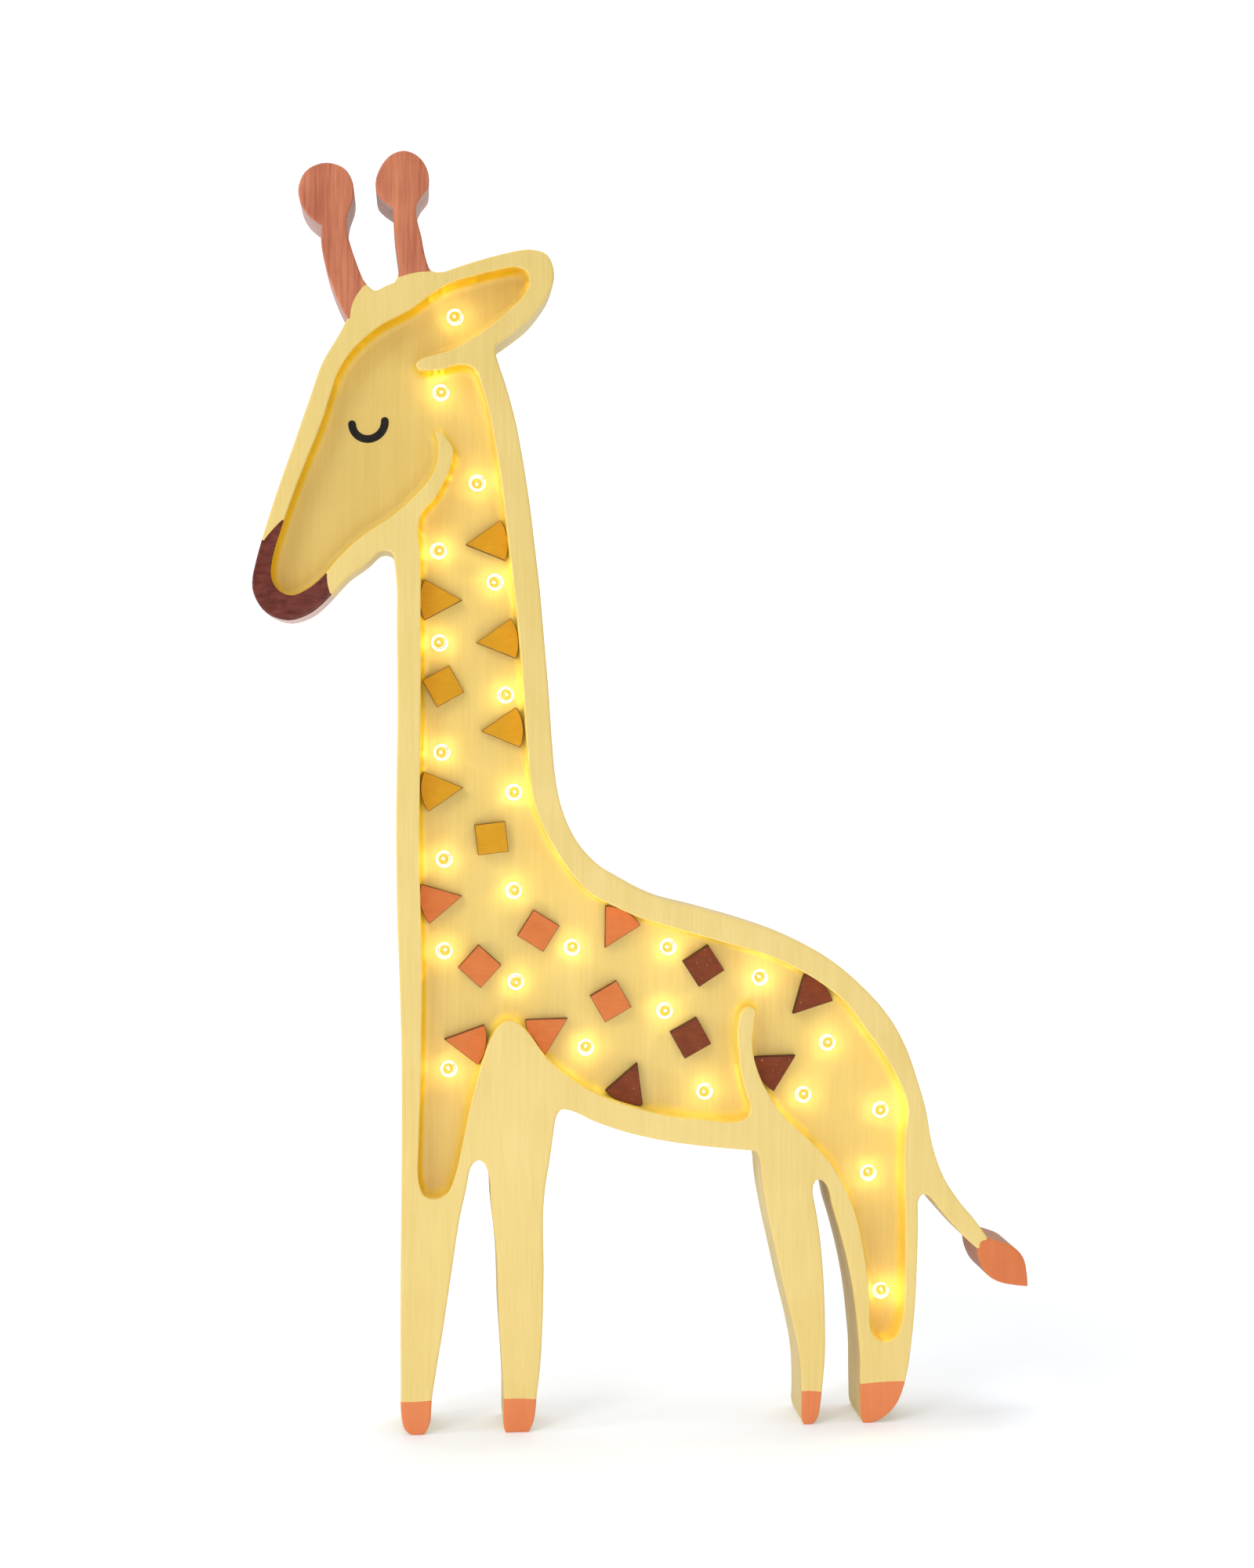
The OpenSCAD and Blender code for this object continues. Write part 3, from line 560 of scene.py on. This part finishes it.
def make_board():
    bm = bmesh.new()
    outer_loop, recess_loop = (smooth(p) for p in outlines("board", FRONT)[:2])
    cover_loop, cavity_loop = (smooth(p) for p in outlines("board", COVER_SEAT)[:2])
    screws = [p.mean(0) for p in outlines("board", COVER_SEAT)[2:]]
    screw_r = np.ptp(outlines("board", COVER_SEAT)[2][:, 0]) / 2
    cavity_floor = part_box("led_leads")[0].y / MM - 1
    pocket_loop = smooth(outlines("board", cavity_floor)[1])
    lamps = [(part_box(n)[0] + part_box(n)[1]) / 2 / MM for n in LED_NODES]
    lamps = [(p.x, p.z) for p in lamps]

    # The outside, from the front face round the edge to the back face.
    front_rows = [ring(bm, grown(outer_loop, -i), FRONT + d) for i, d in eased(FRONT_EASE)]
    back_rows = [ring(bm, grown(outer_loop, -i), BACK - d) for i, d in eased(BACK_EASE)]
    # The sides take the yellow paint with its painted shade.
    side = SLOT_OF["paint_yellow_side_painted_shade"]
    edge_quads = [bridge(bm, a, b) for a, b in zip(front_rows, front_rows[1:])]
    wall_quads = bridge(bm, front_rows[-1], back_rows[-1], side)
    for a, b in zip(back_rows, back_rows[1:]):
        bridge(bm, a, b, side)

    # The recess, from its eased rim down to the cove.
    cove = cove_height(recess_loop)
    rim_rows = [ring(bm, grown(recess_loop, i), FRONT + d) for i, d in eased(RIM_EASE)]
    foot = ring(bm, recess_loop, FLOOR - COVE_R)
    rim_quads = [bridge(bm, a, b) for a, b in zip(rim_rows, rim_rows[1:])]
    lit = SLOT_OF["paint_yellow_recess_painted_glow_and_shade"]
    bridge(bm, rim_rows[-1], foot, lit)

    # The front face, with the edges of the paint as edges of the mesh.
    bounds = paint_lines(bm, front_rows[0] + rim_rows[0])
    rows = [row for area in bounds for row in area]
    face = set(fill(bm, front_rows[0], [rim_rows[0]], lines=rows, slot=SLOT_OF["paint_yellow"]))
    for (paint, edge_paint_with_painted_light, seed, _), area in zip(PAINTED_AREAS, bounds):
        walls = {edge_between(a, b) for row in area for a, b in zip(row, row[1:])}
        found = flood(face, walls, seed)
        for f in found:
            f.material_index = SLOT_OF[paint]
        for i, v in enumerate(front_rows[0]):
            w = front_rows[0][(i + 1) % len(front_rows[0])]
            if any(f in found for f in edge_between(v, w).link_faces):
                for quads in edge_quads:
                    quads[i].material_index = SLOT_OF[paint]
                wall_quads[i].material_index = SLOT_OF[edge_paint_with_painted_light]
        for i, v in enumerate(rim_rows[0]):
            w = rim_rows[0][(i + 1) % len(rim_rows[0])]
            if any(f in found for f in edge_between(v, w).link_faces):
                for quads in rim_quads:
                    quads[i].material_index = SLOT_OF[paint]

    # The recess floor, with a countersunk hole for each lamp.
    sink_r = np.ptp(outlines("board", FLOOR)[-1][:, 0]) / 2
    hole_r = np.ptp(outlines("board", cavity_floor)[-1][:, 0]) / 2
    # The countersinks take the painted glow of the lamp's light and the painted shade of the gap.
    sink = SLOT_OF["lamp_sink_painted_glow"]
    floor_holes, cavity_holes = [], []
    for p in lamps:
        top = ring(bm, circle(p, sink_r, 36), FLOOR)
        middle = ring(bm, circle(p, hole_r, 36), FLOOR + sink_r - hole_r)
        low = ring(bm, circle(p, hole_r, 36), cavity_floor)
        bridge(bm, top, middle, sink)
        bridge(bm, middle, low, lit)
        floor_holes.append(top)
        cavity_holes.append(low)
    free = []
    for angle in (15, 30, 45, 60, 75, 90):
        inset = COVE_R * (1 - math.cos(math.radians(angle)))
        points = grown(recess_loop, -inset)
        good = inside(points, recess_loop) & (distance(points, recess_loop) > 0.97 * inset)
        for p in lamps:
            good &= np.linalg.norm(points - np.array(p), axis=1) > sink_r + 0.3
        free.append(points[good])
    fill(bm, foot, floor_holes, extra=np.concatenate(free), height=cove, slot=lit)

    # The back face, its hanging holes, the cover's ledge, the wiring cavity and the switch's pocket.
    ledge_rows = [ring(bm, grown(cover_loop, i), BACK - d) for i, d in eased(0.4, 2)]
    ledge_foot = ring(bm, cover_loop, COVER_SEAT)
    for a, b in zip(ledge_rows, [*ledge_rows[1:], ledge_foot]):
        bridge(bm, a, b, side)
    hang = [m for m in frame["record"]["mounts"] if m["name"].endswith("hanging_hole")]
    mouths = []
    for m in hang:
        at = (m["pos_m"][0] / MM, m["pos_m"][2] / MM)
        mouth = ring(bm, circle(at, m["dims"]["r_mm"], 48), BACK)
        end = ring(bm, circle(at, m["dims"]["r_mm"], 48), BACK - m["dims"]["length_mm"])
        bridge(bm, mouth, end, side)
        fill(bm, end, [], slot=side)
        mouths.append(mouth)
    fill(bm, back_rows[0], [ledge_rows[0], *mouths], slot=side)
    screw_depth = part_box("cover_screws")[0].y / MM - 0.5
    screw_tops = []
    for p in screws:
        top, end = (ring(bm, circle(p, screw_r, 20), y) for y in (COVER_SEAT, screw_depth))
        bridge(bm, top, end, side)
        fill(bm, end, [], slot=side)
        screw_tops.append(top)
    cavity_top, cavity_foot = (ring(bm, cavity_loop, y) for y in (COVER_SEAT, cavity_floor))
    fill(bm, ledge_foot, [cavity_top, *screw_tops], slot=side)
    bridge(bm, cavity_top, cavity_foot, side)
    pocket_top = ring(bm, pocket_loop, cavity_floor)
    fill(bm, cavity_foot, [pocket_top, *cavity_holes], slot=side)
    middle = pocket_loop.mean(0)
    deep = [v.co.y / MM for v in NODES["board"].data.vertices
            if math.hypot(v.co.x / MM - middle[0], v.co.z / MM - middle[1]) < np.ptp(pocket_loop[:, 0]) / 2]
    pocket_floor = min(y for y in deep if y > FRONT + 1)
    pocket_foot = ring(bm, pocket_loop, pocket_floor)
    bridge(bm, pocket_top, pocket_foot, side)
    fill(bm, pocket_foot, [], slot=side)
    return finished(bm, "giraffe_board", BOARD_MATERIALS, replaced=["board"])


make_board()


# Spots -----------------------------------------------------------------------------------------


def stained_ply(name, colour, dark, specks=0.0):
    """Stained plywood face: short uneven fibres, and on the dark ones a few pale specks."""
    s = Shader(name, 0.62, Specular_IOR_Level=0.2)
    fibre = s.noise(700, 4, 0.6, s.stretched((0.25, 1, 1)))
    tint = s.ramp(s.mix(0.5, fibre, s.noise(110, 3)), (0.3, dark), (0.65, colour))
    if specks:
        dots = s.ramp(s.noise(900, 2, 0.5), (0.69, 0.0), (0.75, 1.0))
        tint = s.mix(s.maths("MULTIPLY", dots, specks), tint, linear(214, 160, 120))
    s.bump(fibre, 0.3, 0.05)
    return s.finish(tint)


def burnt_edge(name, colour):
    """The laser-cut edge: scorched dark, with the plies as faint layers."""
    s = Shader(name, 0.75, Specular_IOR_Level=0.2)
    plies = s.nodes.new("ShaderNodeTexWave")
    plies.bands_direction = "Y"
    plies.inputs["Scale"].default_value = 260
    plies.inputs["Distortion"].default_value = 1.5
    s.links.new(s.place, plies.inputs["Vector"])
    soot = s.noise(420, 3)
    tint = s.ramp(s.mix(0.5, plies.outputs["Fac"], soot), (0.25, linear(72, 44, 26)), (0.8, colour))
    s.bump(plies.outputs["Fac"], 0.3, 0.08)
    return s.finish(tint)


PLY_FACES = {
    "ochre": stained_ply("stain_ochre", linear(222, 160, 26), linear(208, 146, 20)),
    "coral": stained_ply("stain_coral", linear(224, 128, 66), linear(211, 114, 56)),
    "brown": stained_ply("stain_brown", linear(134, 64, 30), linear(108, 48, 22), 0.5),
}
PLY_EDGES = {
    "ochre": burnt_edge("burnt_ochre", linear(150, 104, 48)),
    "coral": burnt_edge("burnt_coral", linear(148, 88, 56)),
    "brown": burnt_edge("burnt_brown", linear(82, 46, 30)),
}


def make_spot(node):
    """One glued plywood spot, its top edge just broken by the laser."""
    tint = node.split("_")[1]
    loop = smooth(outlines(node, SPOT_TOP)[0], 0.8)
    bm = bmesh.new()
    rows = [ring(bm, grown(loop, -i), SPOT_TOP + d) for i, d in eased(0.22, 3)]
    foot = ring(bm, loop, FLOOR)
    fill(bm, rows[0], [], slot=0)
    for a, b in zip(rows, rows[1:]):
        bridge(bm, a, b, 1)
    bridge(bm, rows[-1], foot, 1)
    fill(bm, foot, [], slot=1)
    name = node.replace("spot_", "glued_spot_")
    return finished(bm, name, [PLY_FACES[tint], PLY_EDGES[tint]], replaced=[node])


for node in SPOT_NODES:
    make_spot(node)


# Eye -------------------------------------------------------------------------------------------


def make_eye():
    """The closed eye: one brush stroke of thick paint, a shallow U with round ends."""
    left, bottom, right = Vector((-124.9, 427.1)), Vector((-117.7, 421.0)), Vector((-111.1, 428.7))
    half, thick = 1.65, 0.35
    middle = (left + right) / 2
    turns = [math.pi * s / 24 for s in range(25)]
    spine = [middle + (left - middle) * math.cos(t) + (bottom - middle) * math.sin(t) for t in turns]
    edge = []
    for i, p in enumerate(spine):
        d = (spine[min(i + 1, 24)] - spine[max(i - 1, 0)]).normalized()
        edge.append((p, Vector((d.y, -d.x))))
    outline = [p + n * half for p, n in edge]
    for s in range(1, 8):
        turn = Matrix.Rotation(math.pi * s / 8, 2)
        outline.append(edge[-1][0] + turn @ edge[-1][1] * half)
    outline += [p - n * half for p, n in reversed(edge)]
    for s in range(1, 8):
        turn = Matrix.Rotation(math.pi * s / 8, 2)
        outline.append(edge[0][0] + turn @ -edge[0][1] * half)
    loop = anticlockwise(np.array([(p.x, p.y) for p in outline]))
    bm = bmesh.new()
    rows = [ring(bm, grown(loop, -i), FLOOR - thick + d) for i, d in eased(thick, 4)]
    foot = ring(bm, loop, FLOOR + 0.2)
    fill(bm, rows[0], [])
    for p, q in zip(rows, [*rows[1:], foot]):
        bridge(bm, p, q)
    fill(bm, foot, [])
    return finished(bm, "closed_eye", [EYE])


make_eye()


# Lamps -----------------------------------------------------------------------------------------

LAMP_COLOUR = (1.0, 0.88, 0.38)
LAMP_POWER = 0.0021
chance = random.Random(7)


def clear_epoxy():
    s = Shader("lens_epoxy", 0.03, IOR=1.45)
    s.base.inputs["Transmission Weight"].default_value = 1
    swirl = s.noise(900, 2)
    s.bump(swirl, 0.04, 0.05)
    return s.finish(s.ramp(swirl, (0.3, (1, 0.97, 0.88, 1)), (0.7, (1, 0.99, 0.94, 1))))


EPOXY = clear_epoxy()
PHOSPHOR = glow("lamp_phosphor", linear(236, 202, 74), linear(216, 172, 44), 0.35)
DIE = glow("lamp_die", linear(255, 250, 240), linear(250, 236, 214), 1.2)
CUP = glow("lamp_cup", linear(255, 252, 236), linear(255, 246, 214), 1.3)


def ray_light():
    """A small warm light that throws uneven rays, as a lamp's lens does on the wood beside it."""
    data = bpy.data.lights.new("lamp_light", "POINT")
    data.energy = LAMP_POWER
    data.color = LAMP_COLOUR
    data.shadow_soft_size = 0.3 * MM
    data.use_nodes = True
    nodes, links = data.node_tree.nodes, data.node_tree.links

    def maths(mode, *values):
        node = nodes.new("ShaderNodeMath")
        node.operation = mode
        for socket, value in zip(node.inputs, values):
            give(links, socket, value)
        return node.outputs["Value"]

    split = nodes.new("ShaderNodeSeparateXYZ")
    links.new(nodes.new("ShaderNodeTexCoord").outputs["Normal"], split.inputs[0])
    rays = nodes.new("ShaderNodeTexNoise")
    rays.noise_dimensions = "1D"
    rays.inputs["Scale"].default_value = 5.5
    rays.inputs["Detail"].default_value = 3
    links.new(maths("ARCTAN2", split.outputs["Z"], split.outputs["X"]), rays.inputs["W"])
    ramp = nodes.new("ShaderNodeValToRGB")
    for element, at, level in zip(ramp.color_ramp.elements, (0.42, 0.66), (0.55, 4.0)):
        element.position = at
        element.color = (level, level, level, 1)
    links.new(rays.outputs["Fac"], ramp.inputs["Fac"])

    # Part of the light fades slowly as far as 50 mm or so: the lens throws it over the floor.
    close_by, gain_per_cm, most = 0.45, 0.34, 2.2
    fade = nodes.new("ShaderNodeLightFalloff")
    fade.inputs["Strength"].default_value = 1
    reach = maths("MULTIPLY_ADD", fade.outputs["Linear"], gain_per_cm / (10 * MM), close_by)
    reach = maths("MINIMUM", reach, most)
    links.new(maths("MULTIPLY", ramp.outputs["Color"], reach), nodes["Emission"].inputs["Strength"])
    return data


RAYS = ray_light()


def lathe(bm, centre, profile, count, slot=0):
    """Rings round a lamp's axis from pairs of (radius, depth); a radius of 0 closes the end."""
    rows = []
    for radius, depth in profile:
        if radius > 0:
            rows.append(ring(bm, circle(centre, radius, count), depth))
        else:
            rows.append(bm.verts.new((centre[0] * MM, depth * MM, centre[1] * MM)))
    for a, b in zip(rows, rows[1:]):
        if isinstance(a, list) and isinstance(b, list):
            bridge(bm, a, b, slot)
        else:
            tip, row = (a, b) if isinstance(b, list) else (b, a)
            for i in range(count):
                f = bm.faces.new((row[i], row[(i + 1) % count], tip))
                f.material_index = slot
                f.smooth = True


def make_lamp(node):
    """One LED: a clear dome with its rim, and inside it the bright cup, the phosphor and the die. It sits a
    little off the middle of its hole, as hand-fitted lamps do."""
    low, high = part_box(node)
    lean = chance.uniform(0, 2 * math.pi)
    off = 0.14
    centre = (
        (low.x + high.x) / 2 / MM + off * math.cos(lean),
        (low.z + high.z) / 2 / MM + off * math.sin(lean),
    )
    rim_r = (high.x - low.x) / 2 / MM - off
    lens_r, rim_t = rim_r + off - 0.4, 1.0
    end = high.y / MM
    dome = LENS_TIP + lens_r
    profile = [(0, LENS_TIP)]
    profile += [(lens_r * math.sin(a), dome - lens_r * math.cos(a)) for a in np.radians(range(10, 91, 10))]
    profile += [(lens_r, end - rim_t - 0.15), (lens_r + 0.1, end - rim_t), (rim_r - 0.1, end - rim_t)]
    profile += [(rim_r, end - rim_t + 0.1), (rim_r, end - 0.1), (rim_r - 0.1, end), (0, end)]
    bm = bmesh.new()
    lathe(bm, centre, profile, 36)
    lens = finished(bm, node.replace("led_", "lens_"), [EPOXY], replaced=[node])
    cup = dome + 0.6
    askew = 0.25
    inner = (centre[0] + askew * math.cos(lean), centre[1] + askew * math.sin(lean))
    bm = bmesh.new()
    lathe(bm, inner, [(0, cup), (1.45, cup), (1.55, cup + 0.1), (1.55, cup + 0.4), (0, cup + 0.4)], 28, 0)
    finished(bm, node.replace("led_", "phosphor_"), [PHOSPHOR])
    bm = bmesh.new()
    lathe(bm, inner, [(1.6, cup + 0.4), (1.6, cup), (1.95, cup - 0.5), (2.15, cup - 0.5), (2.15, cup + 1.2),
                      (1.6, cup + 1.2), (1.6, cup + 0.4)], 28, 0)
    finished(bm, node.replace("led_", "cup_"), [CUP])
    bm = bmesh.new()
    lathe(bm, inner, [(0, cup - 0.25), (0.3, cup - 0.22), (0.36, cup - 0.05), (0, cup - 0.05)], 14, 0)
    finished(bm, node.replace("led_", "die_"), [DIE])
    light = bpy.data.objects.new(node + "_light", RAYS)
    light.location = (centre[0] * MM, (LENS_TIP - 0.5) * MM, centre[1] * MM)
    light.rotation_euler = (0, lean, 0)
    light.visible_camera = False
    bpy.context.scene.collection.objects.link(light)
    light.parent = lens


for node in LED_NODES:
    make_lamp(node)


# Back and wiring -------------------------------------------------------------------------------


def birch_ply():
    s = Shader("birch_ply", 0.6)
    grain = s.noise(520, 4, 0.6, s.stretched((1, 1, 0.05)))
    bands = s.noise(60, 2, 0.5, s.stretched((1, 1, 0.06)), 0.8)
    s.bump(grain, 0.4, 0.08)
    wood = s.mix(0.5, grain, bands)
    return s.finish(s.ramp(wood, (0.32, linear(196, 160, 112)), (0.66, linear(226, 198, 152))))


def moulded(name, colour, roughness):
    s = Shader(name, roughness)
    pits = s.noise(2600, 2)
    s.bump(pits, 0.25, 0.02)
    return s.finish(s.ramp(pits, (0.3, linear(*colour)), (0.75, linear(*(min(255, c + 9) for c in colour)))))


def metal(name, colour, roughness):
    s = Shader(name, roughness, Metallic=1.0)
    marks = s.noise(1400, 3, 0.6, s.stretched((1, 0.3, 1)))
    s.bump(marks, 0.15, 0.01)
    return s.finish(s.ramp(marks, (0.3, linear(*(max(0, c - 22) for c in colour))), (0.7, linear(*colour))))


def banded_resistor():
    """A lacquered body with colour rings along its length."""
    s = Shader("resistor_lacquer", 0.35)
    low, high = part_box("resistor")
    split = s.nodes.new("ShaderNodeSeparateXYZ")
    s.links.new(s.place, split.inputs[0])
    along = s.maths("DIVIDE", s.maths("SUBTRACT", split.outputs["Z"], low.z), high.z - low.z)
    sand = linear(205, 176, 132)
    stops = [(0.0, sand), (0.30, linear(150, 80, 30)), (0.38, sand), (0.46, linear(30, 30, 30)),
             (0.54, sand), (0.62, linear(190, 40, 30)), (0.70, sand)]
    tint = s.ramp(along, *stops)
    tint.node.color_ramp.interpolation = "CONSTANT"
    s.bump(s.noise(900, 2), 0.1, 0.02)
    return s.finish(tint)


LOOKS = {
    "back_cover": (birch_ply(), 0.35),
    "cover_screws": (metal("zinc", (206, 206, 200), 0.26), 0.12),
    "led_leads": (metal("tinned_copper", (196, 198, 200), 0.35), 0),
    "solder_joints": (metal("solder", (168, 170, 174), 0.38), 0),
    "wire_red": (moulded("red_pvc", (176, 42, 34), 0.42), 0),
    "wire_black": (moulded("black_pvc", (30, 30, 31), 0.42), 0),
    "resistor": (banded_resistor(), 0),
    "switch_housing": (moulded("black_nylon", (27, 27, 28), 0.55), 0.25),
    "switch_rocker": (moulded("black_polycarbonate", (35, 35, 37), 0.3), 0.25),
    "switch_blades": (metal("switch_brass", (214, 178, 104), 0.3), 0.08),
    "socket_housing": (moulded("socket_nylon", (27, 27, 28), 0.5), 0.25),
    "socket_pin": (metal("nickel", (206, 204, 198), 0.2), 0.1),
    "socket_nut": (metal("nut_nickel", (184, 184, 182), 0.28), 0.15),
    "socket_tags": (metal("socket_brass", (214, 178, 104), 0.3), 0.08),
}

for node, (look, edge) in LOOKS.items():
    part = NODES[node]
    part.data.materials.clear()
    part.data.materials.append(look)
    if edge:
        weld = part.modifiers.new("weld", "WELD")
        weld.merge_threshold = 0.002 * MM
        bevel = part.modifiers.new("eased_edges", "BEVEL")
        bevel.width = edge * MM
        bevel.segments = 2
        bevel.limit_method = "ANGLE"
        bevel.angle_limit = math.radians(35)
        even = part.modifiers.new("even_shading", "WEIGHTED_NORMAL")
        even.keep_sharp = True


# Stage, light and camera -----------------------------------------------------------------------


def make_stage():
    """A pale floor that curves up into a backdrop far behind the giraffe."""
    width, front, bend_at, radius, top = 5.0, -3.0, 1.6, 1.2, 4.0
    profile = [(front, 0.0), (bend_at, 0.0)]
    turns = np.radians(range(6, 91, 6))
    profile += [(bend_at + radius * math.sin(a), radius * (1 - math.cos(a))) for a in turns]
    profile.append((bend_at + radius, top))
    bm = bmesh.new()
    rows = [[bm.verts.new((x, y, z)) for x in (-width, width)] for y, z in profile]
    for a, b in zip(rows, rows[1:]):
        f = bm.faces.new((a[0], a[1], b[1], b[0]))
        f.smooth = True
    mesh = bpy.data.meshes.new("backdrop")
    bm.to_mesh(mesh)
    bm.free()
    s = Shader("backdrop_paper", 0.9, Emission_Color=(1, 1, 1, 1))
    split = s.nodes.new("ShaderNodeSeparateXYZ")
    s.links.new(s.place, split.inputs[0])
    far = s.nodes.new("ShaderNodeMapRange")  # the far part of the sweep is lit on its own, the floor hardly
    far.interpolation_type = "SMOOTHSTEP"
    s.links.new(split.outputs["Y"], far.inputs["Value"])
    for key, value in (("From Min", 0.05), ("From Max", 1.1), ("To Min", 0.14), ("To Max", 0.45)):
        far.inputs[key].default_value = value
    s.links.new(far.outputs["Result"], s.base.inputs["Emission Strength"])
    paper = s.ramp(s.noise(3, 2), (0.3, (0.865, 0.88, 0.90, 1)), (0.7, (0.885, 0.90, 0.92, 1)))
    mesh.materials.append(s.finish(paper))
    stage = bpy.data.objects.new("backdrop", mesh)
    bpy.context.scene.collection.objects.link(stage)


def area_light(name, at, towards, size, power, colour=(1, 1, 1)):
    data = bpy.data.lights.new(name, "AREA")
    data.shape = "DISK"
    data.size = size
    data.energy = power
    data.color = colour
    light = bpy.data.objects.new(name, data)
    light.location = at
    light.rotation_euler = (Vector(towards) - Vector(at)).to_track_quat("-Z", "Y").to_euler()
    light.visible_camera = False
    bpy.context.scene.collection.objects.link(light)


def make_camera():
    at = Vector((-0.0949, -0.9395, 0.293))
    forward = Vector((0.0925, 0.9955, -0.0191)).normalized()
    up = Vector((0, 0.0192, 0.9998))
    right = forward.cross(up).normalized()
    up = right.cross(forward)
    data = bpy.data.cameras.new("camera")
    data.sensor_width = 36
    data.lens = 50.36
    data.clip_start, data.clip_end = 0.01, 50
    camera = bpy.data.objects.new("camera", data)
    camera.matrix_world = Matrix((right, up, -forward)).transposed().to_4x4()
    camera.location = at
    bpy.context.scene.collection.objects.link(camera)
    bpy.context.scene.camera = camera


def make_world():
    world = bpy.data.worlds.new("studio")
    world.use_nodes = True
    sky = world.node_tree.nodes["Background"]
    sky.inputs["Color"].default_value = (1, 1, 1, 1)
    sky.inputs["Strength"].default_value = 0.42
    bpy.context.scene.world = world
    bpy.context.scene.view_settings.view_transform = "Standard"


make_stage()
make_world()
MIDDLE = (0, 0, 0.27)
area_light("key", (-1.2, -1.3, 1.5), MIDDLE, 0.9, 11)
area_light("low_front", (0.1, -1.5, 0.15), (0, 0, 0.05), 0.6, 2)
area_light("foot_fill", (0.05, -0.6, 0.1), (0, 0, 0.08), 0.2, 0.6, (0.5, 0.58, 0.85))
area_light("left_rake", (-0.9, -0.2, 0.4), (0, 0, 0.02), 0.22, 1.6, (0.93, 0.96, 1))
area_light("overhead", (0.2, 0.2, 2.3), (0.2, 0.1, 0), 1.6, 22, (0.93, 0.96, 1))
make_camera()
